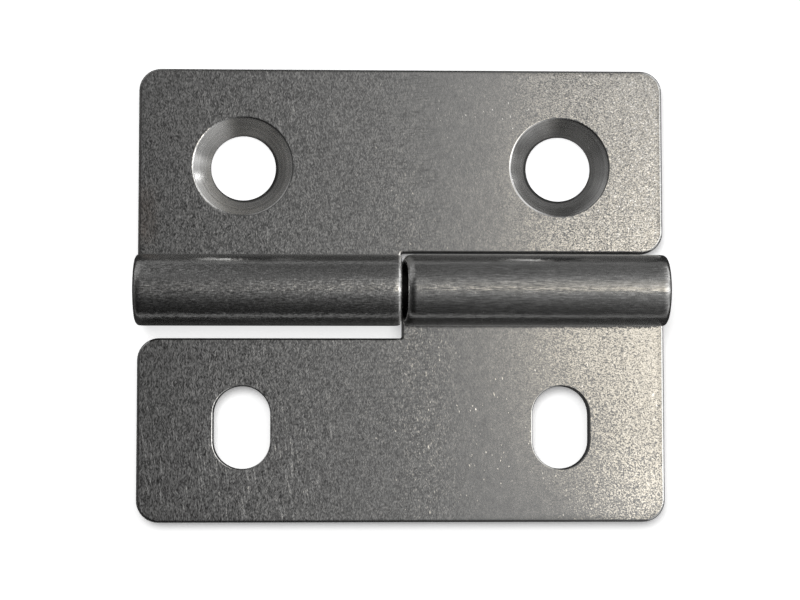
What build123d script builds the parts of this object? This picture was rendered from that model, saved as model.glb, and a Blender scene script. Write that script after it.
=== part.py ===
"""Lift-off hinge for a cooler lid: two leaves of rolled sheet and the pin through their knuckles.

Millimetres, +Z up. The hinge lies open on its back faces. The origin is on the plane of those faces, below the
middle of the pin: +X runs along the pin, +Y from the box leaf to the lid leaf.
"""

import os
from math import asin, degrees

from build123d import *

# Sheet and its edges: broken on the front face and in the holes, rounded on the back face, which rolls outwards
sheet = 2.0
edge_break = 0.3
edge_round = 0.45
corner_radius = 2.5

# Pin
pin_diameter = 4.0
pin_clearance = 0.05
pin_recess = 0.5
pin_chamfer = 0.4

# Knuckles: the gap between their inner ends, and the gap left under the lip of the rolled sheet
knuckle_gap = 0.4
seam_gap = 0.15

# Leaves: width along the pin, and reach from the pin's axis to the far edge
leaf_width = 60.0
lid_reach = 25.5
box_reach = 26.2

# Room in each leaf for the other one's knuckle, and the radius in the inner corner of that notch
lid_notch_gap = 0.45
box_notch_gap = 1.3
lid_notch_radius = 0.7
box_notch_radius = 0.3

# Screws: both rows share one spacing, and each row has its own distance from the pin's axis
screw_spacing = 36.3
hole_row = 14.3
hole_diameter = 7.8
countersink_diameter = 11.5
countersink_angle = 90.0
slot_row = 15.4
slot_width = 6.6
slot_length = 9.7

# Sizes that follow from these
bore_radius = pin_diameter / 2 + pin_clearance
knuckle_radius = bore_radius + sheet
axis_height = knuckle_radius
knuckle_length = (leaf_width - knuckle_gap) / 2
lip_drop = degrees(asin((axis_height - sheet - seam_gap) / knuckle_radius))
roll_angle = 270 + lip_drop


def rim(flat, roll):
    """Edges round a flat face and the rolled face that it runs into, without the bend between them."""
    bend = flat.edges() & roll.edges()
    return flat.edges() + roll.edges() - bend


def rolled_leaf(reach, notch_gap, notch_radius):
    """A leaf that reaches towards +Y, with the -X half of its inner edge rolled into a knuckle."""
    left = -leaf_width / 2
    right = leaf_width / 2
    knuckle_end = left + knuckle_length
    notch_edge = knuckle_radius + notch_gap

    with BuildPart() as leaf:
        # Flat plate, with the tongue of the knuckle running on to below the pin's axis
        with BuildSketch() as outline:
            with BuildLine():
                Polyline(
                    (left, 0),
                    (left, reach),
                    (right, reach),
                    (right, notch_edge),
                    (knuckle_end, notch_edge),
                    (knuckle_end, 0),
                    close=True,
                )
            make_face()
            far_corners = outline.vertices().group_by(Axis.Y)[-1]
            near_corner = outline.vertices().group_by(Axis.Y)[1].sort_by(Axis.X)[-1]
            fillet([*far_corners, near_corner], radius=corner_radius)
            notch_corner = outline.vertices().sort_by_distance((knuckle_end, notch_edge))[0]
            fillet(notch_corner, radius=notch_radius)
        extrude(amount=sheet)

        # Knuckle: the sheet rolls from below the axis, out, over the top and down to a lip above the plate
        with BuildSketch(Plane.YZ.offset(left)):
            with BuildLine():
                outside = CenterArc((0, axis_height), knuckle_radius, 270, -roll_angle)
                inside = CenterArc((0, axis_height), bore_radius, 270, -roll_angle)
                Line(outside @ 0, inside @ 0)
                Line(outside @ 1, inside @ 1)
            make_face()
        extrude(amount=knuckle_length)

        # Rim along both sides of the sheet: the front face runs on into the bore, the back face over the knuckle
        back, front = leaf.faces().filter_by(GeomType.PLANE).filter_by(Axis.Z).sort_by(Axis.Z)
        bore, barrel = leaf.faces().filter_by(GeomType.CYLINDER).sort_by(SortBy.AREA)[-2:]
        chamfer(rim(front, bore), length=edge_break)
        fillet(rim(back, barrel), radius=edge_round)
    return leaf.part


# Lid leaf: two countersunk holes, knuckle on the left
with BuildPart() as lid_leaf:
    add(rolled_leaf(lid_reach, lid_notch_gap, lid_notch_radius))
    with Locations((0, hole_row, sheet)):
        with GridLocations(screw_spacing, 0, 2, 1):
            CounterSinkHole(
                radius=hole_diameter / 2,
                counter_sink_radius=countersink_diameter / 2,
                depth=sheet,
                counter_sink_angle=countersink_angle,
            )
lid_leaf.part.label = "lid_leaf"

# Box leaf: the same way of rolling turned end for end, with two slots across the pin's line
with BuildPart() as box_leaf:
    add(rolled_leaf(box_reach, box_notch_gap, box_notch_radius), rotation=(0, 0, 180))
    with BuildSketch():
        with Locations((0, -slot_row)):
            with GridLocations(screw_spacing, 0, 2, 1):
                SlotOverall(slot_length, slot_width, rotation=90)
    extrude(amount=sheet, mode=Mode.SUBTRACT)
    chamfer(box_leaf.edges(Select.LAST).group_by(Axis.Z)[-1], length=edge_break)
box_leaf.part.label = "box_leaf"

# Pin through both knuckles
with BuildPart() as hinge_pin:
    with BuildSketch(Plane.YZ.offset(-leaf_width / 2 + pin_recess)):
        with Locations((0, axis_height)):
            Circle(pin_diameter / 2)
    extrude(amount=leaf_width - 2 * pin_recess)
    chamfer(hinge_pin.edges().filter_by(GeomType.CIRCLE), length=pin_chamfer)
hinge_pin.part.label = "hinge_pin"

os.makedirs("parts", exist_ok=True)
export_step(lid_leaf.part, "parts/lid_leaf.step")
export_step(box_leaf.part, "parts/box_leaf.step")
export_step(hinge_pin.part, "parts/hinge_pin.step")
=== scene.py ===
"""Looks of the cooler lid hinge: two leaves of tumbled stainless sheet and the pin through their knuckles."""

from math import asin, atan2, degrees, hypot, pi, radians

import bmesh
import bpy
from mathutils import Matrix, Vector


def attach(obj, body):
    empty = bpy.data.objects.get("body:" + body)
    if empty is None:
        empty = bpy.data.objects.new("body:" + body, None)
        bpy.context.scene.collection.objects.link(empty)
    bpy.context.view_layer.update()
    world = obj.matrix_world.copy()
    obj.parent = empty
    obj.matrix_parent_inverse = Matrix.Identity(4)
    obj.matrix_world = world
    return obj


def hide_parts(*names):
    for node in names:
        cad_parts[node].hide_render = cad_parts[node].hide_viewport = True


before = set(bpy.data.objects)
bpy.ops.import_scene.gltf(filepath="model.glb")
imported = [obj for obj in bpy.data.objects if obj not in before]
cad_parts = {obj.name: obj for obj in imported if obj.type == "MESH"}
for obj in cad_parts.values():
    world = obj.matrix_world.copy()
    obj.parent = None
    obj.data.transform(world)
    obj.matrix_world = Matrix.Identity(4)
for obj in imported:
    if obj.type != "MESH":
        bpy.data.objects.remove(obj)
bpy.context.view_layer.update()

# Sizes in millimetres
MM = 0.001
SHEET = 2.0
FRONT_ROUND = 0.3
BACK_ROUND = 0.45
CORNER_RADIUS = 2.5
PIN_RADIUS = 2.0
PIN_RECESS = 0.5
PIN_CHAMFER = 0.4
BORE = 2.05
KNUCKLE = BORE + SHEET
AXIS = KNUCKLE
SEAM = 0.15
LEFT = -30.0
RIGHT = 30.0
KNUCKLE_END = -0.03
LID_REACH = 25.5
BOX_REACH = 26.2
LID_NOTCH = 0.345
BOX_NOTCH = 1.3
LID_NOTCH_RADIUS = 0.25
BOX_NOTCH_RADIUS = 0.25
SCREW_SPACING = 36.3
HOLE_ROW = 14.3
HOLE_RADIUS = 3.72
MOUTH_RADIUS = 5.67
SLOT_ROW = 15.5
SLOT_WIDTH = 6.5
SLOT_LENGTH = 9.4
MOUTH_ROUND = 0.15
PIN_EDGE = 0.08

# Half width and half height of the tile of plate that a hole or a slot is cut in
HOLE_TILE = (7.5, 7.5)
SLOT_TILE = (6.0, 7.5)

# Ends of a knuckle: length that is drawn in, how far its skin drops and how far the end is pulled along the axis,
# and the depth of the skin. Both outer ends are like the lid leaf's inner end
LID_END = (1.0, 0.2, 0.0)
BOX_END = (1.5, 0.5, 0.4)
SKIN = 1.0

# Degrees round the knuckle where the drop sets in, where the pull sets in and fades, and where the plate begins
DROP_FROM = (18, 53)
PULL_FROM = (80, 140)
PULL_TO = (280, 220)
PLATE_TURN = 299.5

# Facets
ROUND_STEPS = 4
CORNER_STEPS = 10
ROLL_STEPS = 96
HOLE_SIDES = 96
TOUCH = 0.002
SHARP = radians(28)
CREASE = radians(30)
EASE_CUTS = (0.12, 0.25, 0.5, 0.75, 1.0)

# Camera: place in millimetres, turn in radians, lens and sensor in millimetres
CAMERA_PLACE = (-7.19, -13.80, 210.72)
CAMERA_TURN = (0.0613, -0.0335, 0.0018)
LENS = 82.6
SENSOR = 36.0

# Colours
STEEL_DARK = (0.44, 0.437, 0.43, 1)
STEEL_LIGHT = (0.68, 0.676, 0.667, 1)
STAIN_BROWN = (0.46, 0.36, 0.30, 1)
HOLE_EDGE_SHADE = (0.10, 0.10, 0.10, 1)
EDGE_SHADE_GREY = (0.24, 0.24, 0.235, 1)
PIN_DARK = (0.40, 0.39, 0.37, 1)
PIN_LIGHT = (0.58, 0.57, 0.55, 1)
GAP_SHADE_BLACK = (0.02, 0.02, 0.02, 1)
WARM = (1.0, 0.885, 0.68)
PAPER_DARK = (0.88, 0.88, 0.88, 1)
PAPER_LIGHT = (0.92, 0.92, 0.92, 1)
PAPER_GLOW = 0.75

# Paper, in metres: half its width, how far it lies below the hinge, and the size of its tooth
PAPER_HALF = 4.0
PAPER_DROP = 0.03 * MM
PAPER_TOOTH = (0.0006, 0.0006, 0.0006)

# Gaps on the paper: how far off the metal still darkens it, in millimetres, the side its light comes from,
# and the power that softens the dark
PAPER_GAP = 1.6
LIGHT_SIDE = (0.0, 0.55, 0.83)
GAP_POWER = 0.75


def square_round(bm, edges, width, steps=ROUND_STEPS):
    """Rounds edges over a width on both faces beside them."""
    bmesh.ops.bevel(
        bm, geom=edges, offset=width, offset_type="OFFSET", segments=steps, profile=0.5,
        affect="EDGES", material=-1, clamp_overlap=False, loop_slide=True,
    )


def sharp_edges(bm, chosen):
    """Edges that turn sharply and have both ends in the chosen place."""
    return [
        edge for edge in bm.edges
        if edge.is_manifold and edge.calc_face_angle() > SHARP and all(chosen(v.co) for v in edge.verts)
    ]


def from_axis(p):
    return hypot(p.y, p.z - AXIS)


def on_front(p):
    """On the front face of the plate, or in the bore that it runs on into."""
    return (p.y > -TOUCH and abs(p.z - SHEET) < TOUCH) or abs(from_axis(p) - BORE) < TOUCH


def on_back(p):
    """On the back face of the plate, or on the barrel that it runs on into."""
    return (p.y > -TOUCH and abs(p.z) < TOUCH) or abs(from_axis(p) - KNUCKLE) < TOUCH


def leaf_outline(bm, reach, notch, notch_radius):
    """Front face of a leaf that reaches towards +Y, with the tongue for its knuckle on the -X half."""
    notch_edge = KNUCKLE + notch
    places = [
        (LEFT, 0), (KNUCKLE_END, 0), (KNUCKLE_END, notch_edge),
        (RIGHT, notch_edge), (RIGHT, reach), (LEFT, reach),
    ]
    corners = [bm.verts.new((x, y, SHEET)) for x, y in places]
    bm.faces.new(corners)
    rounded = dict(profile=0.5, affect="VERTICES", material=-1, clamp_overlap=False)
    bmesh.ops.bevel(bm, geom=corners[3:], offset=CORNER_RADIUS, segments=CORNER_STEPS, **rounded)
    inner = [v for v in bm.verts if (v.co - Vector((KNUCKLE_END, notch_edge, SHEET))).length < TOUCH]
    bmesh.ops.bevel(bm, geom=inner, offset=notch_radius, segments=CORNER_STEPS // 2, **rounded)


def open_hole(bm, centre, half_width, half_height, radius, straight):
    """Cuts a tile out of the front face and draws its rim in to that of a hole, or of a slot along Y."""
    cuts = [
        ((centre.x - half_width, 0, 0), (1, 0, 0)),
        ((centre.x + half_width, 0, 0), (1, 0, 0)),
        ((0, centre.y - half_height, 0), (0, 1, 0)),
        ((0, centre.y + half_height, 0), (0, 1, 0)),
    ]
    for place, normal in cuts:
        whole = bm.verts[:] + bm.edges[:] + bm.faces[:]
        bmesh.ops.bisect_plane(bm, geom=whole, dist=TOUCH, plane_co=place, plane_no=normal)
    tile = min(bm.faces, key=lambda face: (face.calc_center_median() - centre).length)
    bmesh.ops.bisect_edges(bm, edges=tile.edges[:], cuts=HOLE_SIDES // 4 - 1)
    tile = bmesh.ops.extrude_discrete_faces(bm, faces=[tile])["faces"][0]
    for v in tile.verts:
        off_middle = max(-straight / 2, min(straight / 2, v.co.y - centre.y))
        middle = centre + Vector((0, off_middle, 0))
        v.co = middle + (v.co - middle).normalized() * radius
    bmesh.ops.delete(bm, geom=[tile], context="FACES_ONLY")


def hole_places(row):
    return [Vector((side * SCREW_SPACING / 2, row, SHEET)) for side in (-1, 1)]


def near(p, centre, reach):
    return hypot(p.x - centre.x, p.y - centre.y) < reach


def sink(bm, centre):
    """Turns the straight wall under a countersink's mouth into a cone with a narrow land below it."""
    land = SHEET - (MOUTH_RADIUS - HOLE_RADIUS)
    wall = [f for f in bm.faces if all(near(v.co, centre, MOUTH_RADIUS + TOUCH) for v in f.verts)]
    parts = {v for f in wall for v in f.verts} | {e for f in wall for e in f.edges} | set(wall)
    bmesh.ops.bisect_plane(bm, geom=list(parts), dist=TOUCH, plane_co=(0, 0, land), plane_no=(0, 0, 1))
    low = [v for v in bm.verts if near(v.co, centre, MOUTH_RADIUS + TOUCH) and v.co.z < land + TOUCH]
    narrow = HOLE_RADIUS / MOUTH_RADIUS
    bmesh.ops.scale(bm, verts=low, vec=(narrow, narrow, 1), space=Matrix.Translation(-centre))


def roll_knuckle(bm):
    """Rolls the end of the tongue round the pin: out, over the top and down to a lip above the plate."""
    end = [f for f in bm.faces if all(abs(v.co.y) < TOUCH for v in f.verts)]
    lip_drop = asin((AXIS - SHEET - SEAM) / KNUCKLE)
    whole = list({v for f in end for v in f.verts}) + list({e for f in end for e in f.edges}) + end
    bmesh.ops.spin(
        bm, geom=whole, cent=(0, 0, AXIS), axis=(1, 0, 0), dvec=(0, 0, 0),
        angle=-(1.5 * pi + lip_drop), steps=ROLL_STEPS, use_merge=False, use_duplicate=False,
    )


def part_way(value, start, end):
    """0 before the start, 1 after the end, and even in between."""
    return max(0.0, min(1.0, (value - start) / (end - start)))


def roll_turn(p):
    """Degrees round the knuckle: 0 below the axis, 180 above it, 298 at the lip, more on the plate."""
    return degrees(atan2(-p.y, AXIS - p.z)) % 360


def ease_ends(bm, inner_end):
    """Draws the ends of the knuckle in a little, as rolling does, except at the bottom where the plate joins it."""
    for end, inward, (ease, drop, pull) in ((LEFT, 1, LID_END), (KNUCKLE_END, -1, inner_end)):
        for part in EASE_CUTS:
            barrel = [f for f in bm.faces if all(from_axis(v.co) < KNUCKLE + TOUCH for v in f.verts)]
            parts = {v for f in barrel for v in f.verts} | {e for f in barrel for e in f.edges} | set(barrel)
            place = (end + inward * part * ease, 0, 0)
            bmesh.ops.bisect_plane(bm, geom=list(parts), dist=TOUCH, plane_co=place, plane_no=(1, 0, 0))
        for v in bm.verts:
            left_over = 1 - abs(v.co.x - end) / ease
            distance = from_axis(v.co)
            if left_over > 0 and distance < KNUCKLE + TOUCH:
                turn = roll_turn(v.co)
                share = part_way(turn, *DROP_FROM) if turn < PLATE_TURN else 0.0
                v.co.x += inward * pull * left_over * part_way(turn, *PULL_FROM) * part_way(turn, *PULL_TO)
                if distance > KNUCKLE - SKIN:
                    lower = drop * share * (1 - (1 - min(1.0, left_over) ** 2) ** 0.5)
                    v.co.y *= 1 - lower / distance
                    v.co.z = AXIS + (v.co.z - AXIS) * (1 - lower / distance)


def rolled_leaf(reach, notch, notch_radius, row, tile, hole_radius, straight, inner_end):
    """One leaf of sheet with its knuckle rolled, its screw holes cut and its edges rounded."""
    bm = bmesh.new()
    leaf_outline(bm, reach, notch, notch_radius)
    for centre in hole_places(row):
        open_hole(bm, centre, *tile, hole_radius, straight)
    back = bmesh.ops.extrude_face_region(bm, geom=bm.faces[:])
    sunk = [v for v in back["geom"] if isinstance(v, bmesh.types.BMVert)]
    bmesh.ops.translate(bm, verts=sunk, vec=(0, 0, -SHEET))
    if not straight:
        for centre in hole_places(row):
            sink(bm, centre)
    roll_knuckle(bm)
    bmesh.ops.recalc_face_normals(bm, faces=bm.faces[:])

    reach_of_hole = min(tile) - TOUCH

    def in_hole(p):
        return any(near(p, centre, reach_of_hole) for centre in hole_places(row))

    square_round(bm, sharp_edges(bm, lambda p: on_front(p) and in_hole(p)), MOUTH_ROUND)
    square_round(bm, sharp_edges(bm, lambda p: on_front(p) and not in_hole(p)), FRONT_ROUND)
    square_round(bm, sharp_edges(bm, lambda p: on_back(p) and not in_hole(p)), BACK_ROUND)
    ease_ends(bm, inner_end)
    return bm


def pin_rod():
    """Straight rod with a chamfer at each end, its edges taken off."""
    bm = bmesh.new()
    place = Matrix.Translation((LEFT + PIN_RECESS, 0, AXIS)) @ Matrix.Rotation(pi / 2, 4, "Y")
    bmesh.ops.create_circle(bm, cap_ends=True, segments=HOLE_SIDES, radius=PIN_RADIUS, matrix=place)
    pulled = bmesh.ops.extrude_face_region(bm, geom=bm.faces[:])
    far = [v for v in pulled["geom"] if isinstance(v, bmesh.types.BMVert)]
    bmesh.ops.translate(bm, verts=far, vec=(RIGHT - LEFT - 2 * PIN_RECESS, 0, 0))
    bmesh.ops.recalc_face_normals(bm, faces=bm.faces[:])
    square_round(bm, sharp_edges(bm, lambda p: True), PIN_CHAMFER, 1)
    square_round(bm, sharp_edges(bm, lambda p: True), PIN_EDGE, 2)
    return bm


class Field:
    """A value, colour or vector over a surface. Arithmetic on values adds Math nodes."""

    def __init__(self, tree, socket=None):
        self.tree = tree
        self.socket = socket

    def node(self, kind, settings=None, sockets=None, out=0):
        """Adds one node: its settings first, then the values or links of its sockets."""
        made = self.tree.nodes.new(kind)
        for name, value in (settings or {}).items():
            if name == "stops":
                stops = made.color_ramp.elements
                while len(stops) < len(value):
                    stops.new(1.0)
                for stop, (place, colour) in zip(stops, value):
                    stop.position = place
                    stop.color = colour
            else:
                setattr(made, name, value)
        for name, value in (sockets or {}).items():
            if isinstance(value, Field):
                self.tree.links.new(value.socket, made.inputs[name])
            else:
                made.inputs[name].default_value = value
        return Field(self.tree, made.outputs[out])

    def math(self, operation, first, second=0.0):
        return self.node("ShaderNodeMath", {"operation": operation}, {0: first, 1: second})

    def __add__(self, other):
        return self.math("ADD", self, other)

    __radd__ = __add__

    def __sub__(self, other):
        return self.math("SUBTRACT", self, other)

    def __rsub__(self, other):
        return self.math("SUBTRACT", other, self)

    def __mul__(self, other):
        return self.math("MULTIPLY", self, other)

    __rmul__ = __mul__

    def __pow__(self, other):
        return self.math("POWER", self, other)

    def __abs__(self):
        return self.math("ABSOLUTE", self)

    def at_most(self, other):
        return self.math("MINIMUM", self, other)

    def at_least(self, other):
        return self.math("MAXIMUM", self, other)

    def ramp(self, low, high, start=0.0, end=1.0):
        """Smooth rise from start to end as the value goes from low to high."""
        return self.node(
            "ShaderNodeMapRange",
            {"interpolation_type": "SMOOTHSTEP"},
            {"Value": self, "From Min": low, "From Max": high, "To Min": start, "To Max": end},
        )

    def blend(self, first, second):
        """First colour where the value is 0, second where it is 1."""
        return self.node("ShaderNodeMix", {"data_type": "RGBA"}, {0: self, 6: first, 7: second}, 2)

    def stretched(self, size, angle=0.0, shift=(0.0, 0.0, 0.0)):
        """Coordinates turned about Z and divided by a size in each direction, so that noise takes that size."""
        turned = self.node("ShaderNodeVectorRotate", {"rotation_type": "Z_AXIS"}, {"Vector": self, "Angle": angle})
        rate = tuple(1 / s for s in size)
        return self.node(
            "ShaderNodeVectorMath", {"operation": "MULTIPLY_ADD"}, {0: turned, 1: rate, 2: shift}
        )

    def noise(self, detail=2.0, roughness=0.5, out=0):
        return self.node(
            "ShaderNodeTexNoise", {"noise_dimensions": "3D"},
            {"Vector": self, "Scale": 1.0, "Detail": detail, "Roughness": roughness}, out,
        )

    def vector(self, operation, first, second):
        return self.node("ShaderNodeVectorMath", {"operation": operation}, {0: first, 1: second})

    def scaled(self, vector):
        """The vector times this value."""
        return self.node("ShaderNodeVectorMath", {"operation": "SCALE"}, {0: vector, "Scale": self})

    def between(self, first, second):
        """First vector where the value is 0, second where it is 1."""
        return self.node("ShaderNodeMix", {"data_type": "VECTOR"}, {0: self, 4: first, 5: second}, 1)

    def parts(self):
        return [self.node("ShaderNodeSeparateXYZ", None, {0: self}, axis) for axis in "XYZ"]

    def from_parts(self, x, y, z):
        return self.node("ShaderNodeCombineXYZ", None, {"X": x, "Y": y, "Z": z})


def new_finish(name):
    finish = bpy.data.materials.new(name)
    finish.use_nodes = True
    shader = finish.node_tree.nodes["Principled BSDF"]
    return finish, shader, Field(finish.node_tree)


def millimetres(start):
    """Place on the object in millimetres."""
    metres = start.node("ShaderNodeTexCoord", out="Object")
    return metres.node("ShaderNodeVectorMath", {"operation": "SCALE"}, {0: metres, "Scale": 1 / MM})


def connect(field, shader, name):
    field.tree.links.new(field.socket, shader.inputs[name])


def tumbled_stainless():
    """Stainless sheet, tumbled so that it is covered with short strokes, and smoothed where it was rolled."""
    finish, shader, start = new_finish("tumbled_stainless")
    place = millimetres(start)
    x, y, z = place.parts()

    # Where the sheet is rolled, where a countersink was turned, painted shade along the countersink's thin lower
    # edge, set a little off its middle, and a painted highlight in a fine ring near its mouth
    axis_distance = (y * y + (z - AXIS) * (z - AXIS)) ** 0.5
    rolled = axis_distance.ramp(KNUCKLE + 0.05, KNUCKLE + 0.4, 1.0, 0.0)
    hole_x = abs(x) - SCREW_SPACING / 2
    hole_y = y - HOLE_ROW
    hole_distance = (hole_x * hole_x + hole_y * hole_y) ** 0.5
    turned = hole_distance.ramp(MOUTH_RADIUS - 0.15, MOUTH_RADIUS + 0.05, 1.0, 0.0)
    land_x = hole_x + 0.14
    land_y = hole_y + 0.10
    hole_edge_shade = ((land_x * land_x + land_y * land_y) ** 0.5).ramp(3.8, 4.0, 1.0, 0.0)
    # Painted highlight: a fine light ring just inside each countersink's mouth
    mouth_highlight_ring = abs(hole_distance - (MOUTH_RADIUS - 0.28)).ramp(0.02, 0.09, 1.0, 0.0)

    # Strokes of the tumbling: each tips the surface a little. Most are upright, those on the right have no lie
    wander = (place.stretched((0.9, 0.9, 0.9)).noise(1.0) - 0.5) * 0.7
    bent = place.vector("ADD", place, place.from_parts(wander, 0.0, 0.0))
    short = bent.stretched((0.115, 0.26, 0.115)).noise(1.0, 0.5, "Color")
    long = bent.stretched((0.10, 1.0, 0.10), 0.0, (4, 2, 9)).noise(1.0, 0.5, "Color")
    upright = (0.35 + x.ramp(-26.0, -12.0, 0.14, 0.0) * y.ramp(-4.0, 0.0, 1.0, 0.0)).between(short, long)
    level = bent.stretched((0.15, 0.15, 0.15), 0.0, (7, 3, 1)).noise(1.0, 0.5, "Color")
    strokes = x.ramp(4.0, 20.0).between(upright, level)

    # The smoother band right of the middle, and how deep the strokes are on each side of it
    from_band = x - 9.5 + y * 0.13
    rubbed = from_band.ramp(-10.5, -2.5, 0.0, 0.62) * from_band.ramp(3.0, 15.0, 1.0, 0.0)
    depth = x.ramp(-22.0, 2.0, 2.0, 1.0) - x.ramp(8.0, 18.0) * y.ramp(-4.0, 4.0, 0.28, -0.02)

    # Fine specks, cloudy patches, a few nicks, scratches at the lower left and dark level hairlines
    speckle = bent.stretched((0.11, 0.30, 0.11), 0.0, (1, 8, 4)).noise(1.0, 0.5)
    mottle = place.stretched((0.9, 1.2, 0.9), 0.0, (5, 5, 5)).noise(2.0, 0.6)
    nick_patch = place.stretched((6.0, 6.0, 6.0), 0.0, (2, 6, 1)).noise(2.0, 0.6).ramp(0.48, 0.58)
    nicks = place.stretched((0.13, 0.42, 0.13), radians(-12), (9, 1, 2)).noise(0.0).ramp(0.80, 0.85)
    nicks = nicks * nick_patch * x.ramp(-8.0, 2.0, 0.2, 1.0)
    scratches = place.stretched((0.15, 3.4, 0.15), radians(-8), (2, 7, 3)).noise(0.0).ramp(0.62, 0.74)
    scratched = scratches * x.ramp(-14.0, -2.0, 1.0, 0.0) * y.ramp(-18.0, -8.0, 1.0, 0.35)
    hairlines = place.stretched((1.7, 0.12, 0.12), radians(-7), (5, 9, 2)).noise(1.0).ramp(0.59, 0.67)
    hairlines = hairlines * x.ramp(-14.0, -4.0) * x.ramp(2.0, 7.0, 1.0, 0.0) * (1 - rolled) * (1 - turned)

    # Lengthwise streaks and dark marks on the knuckle, and rings in the countersinks
    streaks = place.stretched((1.6, 0.22, 0.22), 0.0, (3, 1, 8)).noise(3.0, 0.7)
    streak_tips = place.stretched((1.2, 0.13, 0.13), 0.0, (8, 2, 5)).noise(2.0, 0.6, "Color")
    dashes = place.stretched((0.42, 0.14, 0.14), 0.0, (1, 4, 2)).noise(1.0, 0.5, "Color")
    lines = x.ramp(-3.0, 3.0, 0.7, 0.3).between(streak_tips, dashes)
    marks = place.stretched((2.6, 0.30, 0.30), 0.0, (6, 2, 3)).noise(3.0, 0.65)
    marked = marks.ramp(0.50, 0.68) * rolled
    scored = place.stretched((0.8, 0.11, 0.11), 0.0, (4, 7, 1)).noise(2.0, 0.6).ramp(0.54, 0.66) * rolled
    rings = place.from_parts(hole_distance * 7.0, x * 0.05, y * 0.05).noise(2.0, 0.6)

    # Tips of the surface: strokes on the flat, which are cut in more than raised on the left, streaks on the knuckle,
    # none in the countersinks
    centred = (0.5, 0.5, 0.5)
    flat = (1 - rolled) * (1 - turned)
    stroke_x, stroke_y, stroke_z = place.vector("SUBTRACT", strokes, centred).parts()
    uneven = place.from_parts(stroke_x.at_most(x.ramp(-2.0, 8.0, 0.09, 0.5)), stroke_y, stroke_z)
    flat_tip = (flat * (1 - rubbed) * depth * 0.275).scaled(uneven)
    rolled_tip = (rolled * x.ramp(-3.0, 3.0, 0.36, 0.30)).scaled(place.vector("SUBTRACT", lines, centred))
    nick_tip = place.from_parts((nicks * 0.10 + scratched * 0.03) * flat, 0.0, 0.0)
    tip = place.vector("ADD", place.vector("ADD", flat_tip, rolled_tip), nick_tip)
    facing = start.node("ShaderNodeNewGeometry", out="Normal")
    tipped = place.vector("ADD", facing, tip)
    connect(place.node("ShaderNodeVectorMath", {"operation": "NORMALIZE"}, {0: tipped}), shader, "Normal")

    # Shade of the steel: its grain, painted shade along the top of the right knuckle and over its right part, a
    # painted highlight on the lower right corner, and the lighter scratches
    fine = (speckle - 0.5) * (1 + rolled) * (1 - turned) * (1 - rubbed) * x.ramp(-12.0, 15.0, 2.2, 0.8)
    grain = fine + (rings - 0.5) * turned * 2.2 + mouth_highlight_ring * turned * 0.35 + (streaks - 0.5) * rolled * 1.6
    # Painted shade: darker along the top of the right knuckle and towards its right end
    knuckle_painted_shade = rolled * (abs(y).ramp(0.15, 1.2, 0.35, 0.0) * x.ramp(2.0, 10.0) + x.ramp(8.0, 26.0) * 0.3)
    # Painted highlight brightening the lower right corner, plus the lighter scratches at the lower left
    corner_highlight_and_scratches = x.ramp(18.0, 26.0) * y.ramp(-24.0, -14.0, 0.4, 0.0) + scratched * 0.6
    dark_marks = marked * 0.5 + scored * 0.45 + hairlines * 0.45
    shade = 0.5 + grain + (mottle - 0.5) * 0.5 + corner_highlight_and_scratches - knuckle_painted_shade - dark_marks
    sheet = shade.at_most(1.0).at_least(0.0).blend(STEEL_DARK, STEEL_LIGHT)

    # A brown stain at the lid leaf's left edge
    stain = x.ramp(-29.2, -27.0, 1.0, 0.0) * abs(y - 8.6).ramp(1.5, 4.5, 1.0, 0.0) * (mottle * 1.2).at_most(1.0)
    stained = (stain * 0.6).blend(sheet, STAIN_BROWN)

    # Painted shade along the outline, darker towards the edges, except on the bright rim at the right
    out_x = (abs(x) - RIGHT + CORNER_RADIUS).at_least(0.0)
    out_y = (y - LID_REACH + CORNER_RADIUS).at_least(-1 * y - BOX_REACH + CORNER_RADIUS).at_least(0.0)
    in_from_edge = CORNER_RADIUS - (out_x * out_x + out_y * out_y) ** 0.5
    edge_shade = in_from_edge.ramp(0.2, x.ramp(5.0, 22.0, 0.45, 1.0), 1.0, 0.0) * (1 - rolled)
    edge_shade = edge_shade * (1 - in_from_edge.ramp(0.1, 0.3, 1.0, 0.0) * x.ramp(10.0, 26.0))
    edge_shaded_steel = (edge_shade * 0.45).blend(stained, EDGE_SHADE_GREY)
    # Painted shade: a dark ring on each countersink's thin lower edge
    colour = (hole_edge_shade * 0.85).blend(edge_shaded_steel, HOLE_EDGE_SHADE)
    connect(colour, shader, "Base Color")
    rough = 0.13 + (mottle - 0.5) * 0.06 + rolled * 0.06 + marked * 0.08 + turned * 0.13
    connect(rough, shader, "Roughness")
    shader.inputs["Metallic"].default_value = 1.0
    return finish


def drawn_pin_steel():
    """Cold drawn rod: bright, with fine lines along it and a band of painted shade, nearly black, between the
    knuckles.
    """
    finish, shader, start = new_finish("drawn_pin_steel")
    place = millimetres(start)
    lines = place.stretched((12.0, 0.09, 0.09)).noise(3.0, 0.6)
    mottle = place.stretched((0.8, 0.8, 0.8)).noise(3.0, 0.6)
    bump = lines.node("ShaderNodeBump", None, {"Height": lines, "Strength": 1.0, "Distance": 0.000003})
    connect(bump, shader, "Normal")
    colour = (0.5 + (lines - 0.5) * 0.6).blend(PIN_DARK, PIN_LIGHT)
    along = place.parts()[0]
    # Painted shade where the pin shows between the knuckles
    gap_shade = abs(along - 0.2).ramp(0.6, 1.4, 1.0, 0.0)
    connect((gap_shade * 0.95).blend(colour, GAP_SHADE_BLACK), shader, "Base Color")
    connect(0.26 + (mottle - 0.5) * 0.2 + gap_shade * 0.3, shader, "Roughness")
    shader.inputs["Metallic"].default_value = 1.0
    return finish


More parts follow.
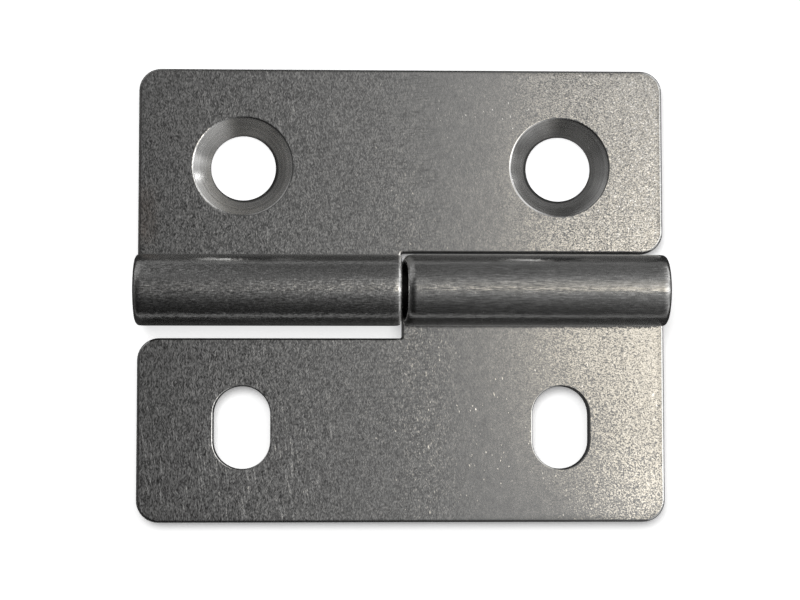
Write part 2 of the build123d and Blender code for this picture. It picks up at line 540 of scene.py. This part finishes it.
def finished_piece(name, bm, body, finish):
    """Puts a shaped mesh into the scene, in metres, in place of the solid of its body."""
    bmesh.ops.scale(bm, verts=bm.verts[:], vec=(MM, MM, MM))
    for edge in bm.edges:
        edge.smooth = not (edge.is_manifold and edge.calc_face_angle() > CREASE)
    for face in bm.faces:
        face.smooth = True
    mesh = bpy.data.meshes.new(name)
    bm.to_mesh(mesh)
    bm.free()
    mesh.materials.append(finish)
    piece = bpy.data.objects.new(name, mesh)
    bpy.context.scene.collection.objects.link(piece)
    flat = piece.modifiers.new("flat faces stay flat", "WEIGHTED_NORMAL")
    flat.mode = "FACE_AREA"
    flat.keep_sharp = True
    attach(piece, body)
    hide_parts(body)


def place_camera():
    """Camera nearly above the hinge, a little to the left of and below its middle."""
    camera = bpy.data.objects.new("camera", bpy.data.cameras.new("camera"))
    camera.location = Vector(CAMERA_PLACE) * MM
    camera.rotation_mode = "ZYX"
    camera.rotation_euler = CAMERA_TURN
    camera.data.sensor_width = SENSOR
    camera.data.lens = LENS
    camera.data.clip_start = 0.01
    bpy.context.scene.collection.objects.link(camera)
    bpy.context.scene.camera = camera


def pale_floor():
    """Wide white paper under the hinge, which isn't mirrored. It glows as paper lit all round does, less in gaps."""
    bm = bmesh.new()
    bmesh.ops.create_grid(bm, x_segments=1, y_segments=1, size=PAPER_HALF)
    bmesh.ops.translate(bm, verts=bm.verts[:], vec=(0, 0, -PAPER_DROP))
    mesh = bpy.data.meshes.new("white_paper")
    bm.to_mesh(mesh)
    bm.free()
    paper, shader, start = new_finish("white_paper")
    metres = start.node("ShaderNodeTexCoord", out="Object")
    tooth = metres.stretched(PAPER_TOOTH).noise(2.0, 0.5)
    connect(tooth.blend(PAPER_DARK, PAPER_LIGHT), shader, "Base Color")
    shader.inputs["Roughness"].default_value = 0.9
    shader.inputs["Specular IOR Level"].default_value = 0.0
    light_side = start.from_parts(*LIGHT_SIDE)
    open_sky = start.node(
        "ShaderNodeAmbientOcclusion", {"samples": 8}, {"Distance": PAPER_GAP * MM, "Normal": light_side}, "AO"
    )
    connect(open_sky ** GAP_POWER, shader, "Emission Color")
    shader.inputs["Emission Strength"].default_value = PAPER_GLOW
    mesh.materials.append(paper)
    floor = bpy.data.objects.new("white_paper", mesh)
    floor.visible_glossy = False
    bpy.context.scene.collection.objects.link(floor)


def studio_light():
    """What the metal mirrors: a soft light overhead in a dim room, a warm glow on the right, a pale line far off."""
    world = bpy.data.worlds.new("studio")
    world.use_nodes = True
    bpy.context.scene.world = world
    world.cycles_visibility.diffuse = False
    start = Field(world.node_tree)
    direction = start.node("ShaderNodeTexCoord", out="Generated")
    across, along, up = direction.parts()

    def ramp_of(value, stops):
        """Grey levels at places from -1 to 1."""
        placed = [(0.5 + 0.5 * place, (grey, grey, grey, 1)) for place, grey in stops]
        return start.node("ShaderNodeValToRGB", {"stops": placed}, {"Fac": value * 0.5 + 0.5})

    # Soft light overhead, dimmer to the left and at both ends
    sweep = ramp_of(across, [
        (-1.0, 0.22), (-0.8, 0.12), (-0.5, 0.04), (-0.25, 0.04), (-0.15, 0.085), (-0.10, 0.15), (-0.075, 0.17),
        (-0.015, 0.225), (0.007, 0.25), (0.045, 0.33), (0.083, 0.405), (0.104, 0.45), (0.22, 0.58), (0.34, 0.8),
        (0.5, 0.8), (0.75, 0.6), (1.0, 0.45),
    ])
    overhead = ramp_of(along, [
        (-1.0, 0.11), (-0.75, 0.24), (-0.5, 0.44), (-0.28, 0.72), (0.0, 0.95), (0.2, 1.0), (0.4, 0.93), (0.6, 0.60),
        (0.8, 0.38), (1.0, 0.35),
    ])

    # Warm glow on the right with a slanting edge, paler further out
    slant = across + along.at_most(0.04) * 0.65
    glow = slant.ramp(0.128, 0.172, 0.0, 1.2) * along.ramp(0.03, 0.19, 1.0, 0.36)
    glow = glow * (1 - across.ramp(0.14, 0.18) * along.ramp(0.05, 0.11) * 0.5)
    glow = glow * along.ramp(-0.18, -0.06) * along.ramp(0.3, 0.55, 1.0, 0.0)
    pale = glow * across.ramp(0.28, 0.45)
    warm = (glow - pale).scaled(WARM)

    # A tall window at the far right, a pale wall on the left, and fill in the corners and at the back of the room
    tall_window = across.ramp(0.22, 0.34) * across.ramp(0.5, 0.95, 1.0, 0.0)
    tall_window = tall_window * along.ramp(-0.35, -0.12) * along.ramp(0.12, 0.4, 1.0, 0.0)
    pale_wall = across.ramp(-0.13, -0.05, 0.03, 0.0) * along.ramp(0.04, 0.11) * along.ramp(0.3, 0.5, 1.0, 0.0)
    corner = 0.36 + across.ramp(-0.3, 0.3, -0.18, 0.22) + along.ramp(-0.3, 0.3, -0.16, 0.2)
    side_fill = abs(across).ramp(0.22, 0.48) * abs(along).ramp(0.25, 0.6) * corner
    back_fill = across.ramp(-0.22, -0.04, 1.0, 0.0) * along.ramp(0.4, 0.8) * 0.36
    plain = pale * 0.87 + tall_window * 1.1 + pale_wall + side_fill.at_least(back_fill)
    lit = start.vector("ADD", warm, start.from_parts(plain, plain, plain))
    sky = start.vector("ADD", start.vector("MULTIPLY", sweep, overhead), lit)

    # A pale line at the horizon and a dim floor below it
    far_off = up.ramp(-0.26, -0.14) * up.ramp(0.0, 0.06, 1.0, 0.0) * across.ramp(-0.9, -0.5, 0.06, 0.2) + 0.04
    below = start.from_parts(far_off, far_off, far_off)
    level = up.ramp(-0.02, 0.04).between(below, sky)
    background = world.node_tree.nodes["Background"]
    world.node_tree.links.new(level.socket, background.inputs["Color"])

    # A bright spot for the countersink's wall, and the light that casts the soft shadow
    window = soft_lamp("low window", place=(0.57, 0.237, 0.05), size=0.07, power=0.10)
    window.visible_diffuse = False
    shadow_lamp = soft_lamp("shadow light", place=(-0.09, 0.12, 0.49), size=0.27, power=1.25)
    shadow_lamp.visible_glossy = False
    bpy.context.scene.view_settings.view_transform = "Standard"


def soft_lamp(name, place, size, power):
    """Round soft light that faces the hinge."""
    light = bpy.data.lights.new(name, "AREA")
    light.shape = "DISK"
    light.size = size
    light.energy = power
    lamp = bpy.data.objects.new(name, light)
    lamp.location = place
    lamp.rotation_mode = "QUATERNION"
    lamp.rotation_quaternion = Vector(place).to_track_quat("Z", "Y")
    bpy.context.scene.collection.objects.link(lamp)
    return lamp


steel = tumbled_stainless()
finished_piece(
    "lid_leaf_sheet",
    rolled_leaf(LID_REACH, LID_NOTCH, LID_NOTCH_RADIUS, HOLE_ROW, HOLE_TILE, MOUTH_RADIUS, 0.0, LID_END),
    "lid_leaf", steel,
)
box_mesh = rolled_leaf(
    BOX_REACH, BOX_NOTCH, BOX_NOTCH_RADIUS, SLOT_ROW, SLOT_TILE, SLOT_WIDTH / 2, SLOT_LENGTH - SLOT_WIDTH, BOX_END,
)
bmesh.ops.rotate(box_mesh, verts=box_mesh.verts[:], cent=(0, 0, 0), matrix=Matrix.Rotation(pi, 3, "Z"))
finished_piece("box_leaf_sheet", box_mesh, "box_leaf", steel)
finished_piece("pin_rod", pin_rod(), "hinge_pin", drawn_pin_steel())

place_camera()
pale_floor()
studio_light()
